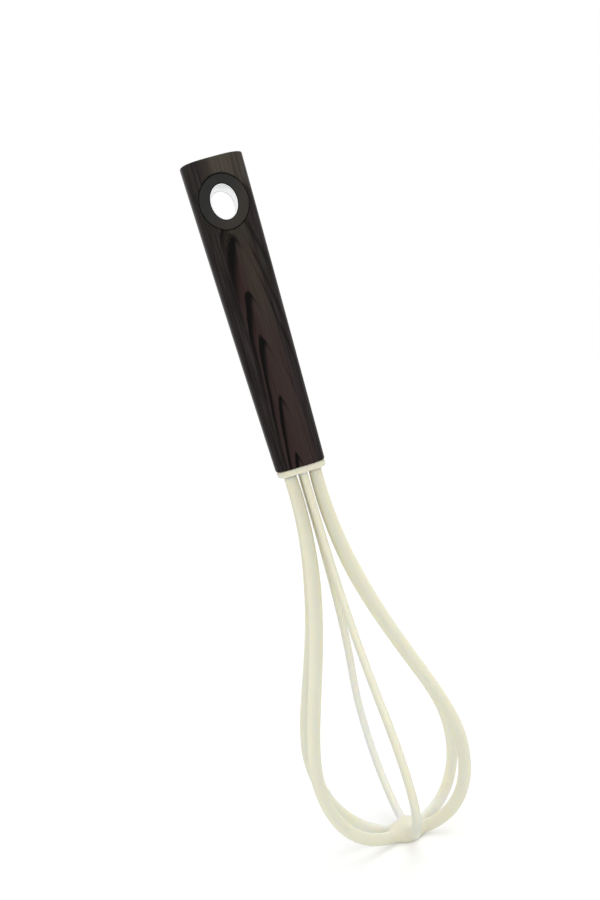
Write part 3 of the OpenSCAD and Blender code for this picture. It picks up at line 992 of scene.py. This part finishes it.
def arch_dark(n, place, x, y, z):
    """How dark the arches make each place. Each arch is dark under its edge, and the dark reaches
    far down its left side and little elsewhere."""
    level = grain_level(n, place, x, y, z)
    below = below_arch(n, level)
    reach_left = n.remap(level, *ARCH_REACH_LEFT)
    more = n.math("SUBTRACT", ARCH_REACH_RIGHT, reach_left)
    reach = n.math("MULTIPLY_ADD", n.remap(x, *ARCH_REACH_TURN, smooth=True), more, reach_left)
    faded = n.math("SUBTRACT", 1.0, n.math("DIVIDE", below, reach), clamp=True)
    edge = n.math("DIVIDE", below, ARCH_EDGE, clamp=True)
    side = n.math("MAXIMUM", n.remap(x, *ARCH_DARK_LEFT, smooth=True),
                  n.remap(x, *ARCH_DARK_RIGHT, smooth=True))
    side = n.math("MULTIPLY", side, n.remap(x, *ARCH_DARK_MARGIN, smooth=True))
    dark = n.math("MULTIPLY", n.remap(faded, *ARCH_FADE, smooth=True), edge)
    return n.math("MULTIPLY", dark, side)


def wood_brown(n, place, x, z, fibre):
    """The print's brown beside and under the arches, with its straight lines and painted top
    highlight.
    """
    streak = n.noise(place, *WOOD_STREAK)
    pale = n.noise(place, *WOOD_PALE)
    broad = n.noise(place, *WOOD_BROAD)
    middle = n.math("MULTIPLY", n.remap(x, *MIDDLE_LEFT, smooth=True),
                    n.remap(x, *MIDDLE_RIGHT, smooth=True))
    margin = n.mix(n.remap(x, *MARGIN_TURN), WOOD["margin_left"], WOOD["margin_right"])
    pale_color = n.mix(n.remap(broad, *WOOD_PALE_TURN), WOOD["streak_rosy"], WOOD["streak_yellow"])
    margin = n.mix(n.remap(pale, *WOOD_PALE_SHARE), margin, pale_color)
    across = n.math("ADD", x, n.remap(broad, *WOOD_BROAD_X))
    inner = n.mix(n.remap(across, *INNER_TURN, smooth=True), WOOD["inner_left"], WOOD["inner_right"])
    inner = n.mix(n.remap(z, *INNER_LOW_Z, smooth=True), inner, WOOD["inner_low"])
    inner = n.mix(n.remap(z, *INNER_HIGH_Z, smooth=True), inner, WOOD["inner_high"])
    brown = n.mix(middle, margin, inner)
    # Painted highlight: a lighter brown near the top, on the right
    top = n.math("MULTIPLY", n.remap(z, *TOP_HIGHLIGHT_Z, smooth=True),
                 n.remap(x, *TOP_HIGHLIGHT_X, smooth=True))
    brown = n.mix(top, brown, WOOD["top"])
    lines = n.remap(middle, *WOOD_LINES_SHARE)
    for noise, share, color in ((fibre, WOOD_FIBRE_SHARE, WOOD["fibre"]),
                                (streak, WOOD_STREAK_SHARE, WOOD["streak"])):
        brown = n.mix(n.math("MULTIPLY", n.remap(noise, *share), lines), brown, color)
    return brown


def wood_print_material():
    """Dark printed wood grain: pointed arches up the middle and straight lines beside them."""
    n = Nodes(bpy.data.materials.new("dark_wood_print"))
    place = n.place()
    x, y, z = n.axes(place)
    fibre = n.noise(place, *WOOD_FIBRE)
    color = n.mix(arch_dark(n, place, x, y, z), wood_brown(n, place, x, z, fibre), WOOD["arch"])
    n.bump(fibre, *WOOD_BUMP)
    n.set(Base_Color=color, Roughness=n.remap(fibre, *WOOD_ROUGHNESS),
          Specular_IOR_Level=0.06, Sheen_Weight=0.05, Sheen_Roughness=0.3)
    return n.owner


def eyelet_material():
    """Fine matt dark grey plastic, lighter towards the lower right by painted light."""
    n = Nodes(bpy.data.materials.new("eyelet_dark_plastic"))
    place = n.place()
    x, _, z = n.axes(place)
    cloud = n.remap(n.noise(place, *EYELET_CLOUD), *EYELET_CLOUD_SHARE)
    # Painted light: the ring lighter towards the lower right
    lit_and_cloud = n.remap(n.math("SUBTRACT", x, z), *EYELET_LIT_SLOPE, smooth=True)
    lit_and_cloud = n.math("ADD", lit_and_cloud, cloud, clamp=True)
    spark = n.noise(place, *EYELET_SPARK)
    n.bump(spark, *EYELET_BUMP)
    n.set(Base_Color=n.mix(lit_and_cloud, EYELET_DARK, EYELET_LIT),
          Roughness=n.remap(spark, *EYELET_ROUGHNESS), Specular_IOR_Level=0.22)
    return n.owner


def metal_material(name, color, roughness, marks):
    """Metal with fine marks, which are a little duller and rougher."""
    n = Nodes(bpy.data.materials.new(name))
    marked = n.noise(n.place(), *marks)
    dull = tuple(METAL_DULL * c for c in color)
    low, high, smoother, rougher = METAL_ROUGHNESS
    n.set(Base_Color=n.mix(n.remap(marked, *METAL_MARK_SHARE), color, dull), Metallic=1.0,
          Roughness=n.remap(marked, low, high, roughness * smoother, roughness * rougher))
    return n.owner


def nylon_material():
    """Plain moulded nylon of the tang."""
    n = Nodes(bpy.data.materials.new("tang_nylon"))
    cloud = n.noise(n.place(), *NYLON_CLOUD)
    n.set(Base_Color=n.mix(cloud, NYLON_DARK, NYLON_PALE), Roughness=0.55)
    return n.owner


# Stage

def camera():
    """Camera at the photograph's place and angle, turned about its own axis as the photo is."""
    azimuth, elevation, roll = map(math.radians, (CAMERA_AZIMUTH, CAMERA_ELEVATION, CAMERA_ROLL))
    back = Vector((-math.sin(azimuth) * math.cos(elevation),
                   -math.cos(azimuth) * math.cos(elevation), math.sin(elevation)))
    level_right = (-back).cross(Vector((0, 0, 1))).normalized()
    level_up = level_right.cross(-back)
    right = math.cos(roll) * level_right + math.sin(roll) * level_up
    up = math.cos(roll) * level_up - math.sin(roll) * level_right
    pan = math.atan2(CAMERA_PAN, CAMERA_FOCAL)
    tilt = math.atan2(CAMERA_TILT, CAMERA_FOCAL)
    ahead = math.cos(pan) * -back - math.sin(pan) * right
    right = math.cos(pan) * right + math.sin(pan) * -back
    final_up = math.cos(tilt) * up - math.sin(tilt) * ahead
    final_ahead = math.sin(tilt) * up + math.cos(tilt) * ahead
    data = bpy.data.cameras.new("camera")
    data.sensor_width = SENSOR
    data.lens = CAMERA_FOCAL * SENSOR / PHOTO_HEIGHT
    obj = add_object("camera", data)
    place = (Vector((0, 0, CAMERA_TARGET_Z)) + CAMERA_DISTANCE * back) * MM
    turn = Matrix((right, final_up, -final_ahead)).transposed()
    obj.matrix_world = Matrix.Translation(place) @ turn.to_4x4()
    bpy.context.scene.camera = obj


def lamp(name, toward, strength, angle):
    """Soft sun lamp that shines from the given direction."""
    data = bpy.data.lights.new(name, "SUN")
    data.energy = strength
    data.angle = math.radians(angle)
    obj = add_object(name, data)
    obj.rotation_mode = "QUATERNION"
    obj.rotation_quaternion = Vector(toward).to_track_quat("Z", "Y")


def world():
    """White surroundings, dimmer as light than they look."""
    studio = bpy.data.worlds.new("studio")
    n = Nodes(studio, "Background")
    path = n.add("ShaderNodeLightPath")
    seen = n.math("MAXIMUM", path.outputs["Is Camera Ray"], path.outputs["Is Transmission Ray"])
    seen = n.math("MAXIMUM", seen, path.outputs["Is Glossy Ray"])
    n.set(Color=WHITE, Strength=n.remap(seen, 0.0, 1.0, WORLD_LIGHT, 1.0))
    bpy.context.scene.world = studio


def floor():
    """Pale floor under the tip. To the camera it glows a little, so it blends into white."""
    n = Nodes(bpy.data.materials.new("floor_white"))
    path = n.add("ShaderNodeLightPath")
    glow = n.math("MULTIPLY", path.outputs["Is Camera Ray"], FLOOR_GLOW)
    n.set(Base_Color=FLOOR_COLOR, Roughness=0.9, Specular_IOR_Level=0.0,
          Emission_Color=WHITE, Emission_Strength=glow)
    corners = [(x * FLOOR_HALF, y * FLOOR_HALF, 0) for x, y in ((-1, -1), (1, -1), (1, 1), (-1, 1))]
    obj = add_mesh("floor", corners, [(0, 1, 2, 3)], n.owner)
    obj.location.z = -FLOOR_DROP * MM


# The whisk

def finish_frame_nodes():
    """Materials for the CAD pieces that stay as they are."""
    wire = metal_material("spring_wire", WIRE_STEEL, 0.3, WIRE_MARKS)
    finishes = {"wire_centre": wire, "wire_left_front": wire, "wire_right_front": wire,
                "handle_tang": nylon_material()}
    for node, material in finishes.items():
        materials = frame["nodes"][node].data.materials
        materials.clear()
        materials.append(material)


def build():
    """Every visible piece, and the node that it stands for."""
    silicone = silicone_material()
    for name in RIBS:
        dress(rib(name, silicone), "silicone", name)
    dress(tip_hub(silicone), "silicone", "tip_hub")
    dress(collar(silicone), "silicone", "collar")
    dress(handle_shell(wood_print_material()), "handle_print", "handle_shell")
    dark = eyelet_material()
    dress(eyelet("eyelet_front_ring", -1, dark), "eyelet_plastic", "eyelet_front")
    dress(eyelet("eyelet_back_ring", 1, dark), "eyelet_plastic", "eyelet_back")
    polished = metal_material("liner_polished", LINER_STEEL, 0.16, LINER_MARKS)
    dress(liner(polished), "liner_steel", "eyelet_liner")
    finish_frame_nodes()


camera()
world()
floor()
for name, settings in LAMPS.items():
    lamp(name, *settings)
build()

bpy.context.scene.view_settings.view_transform = "Standard"
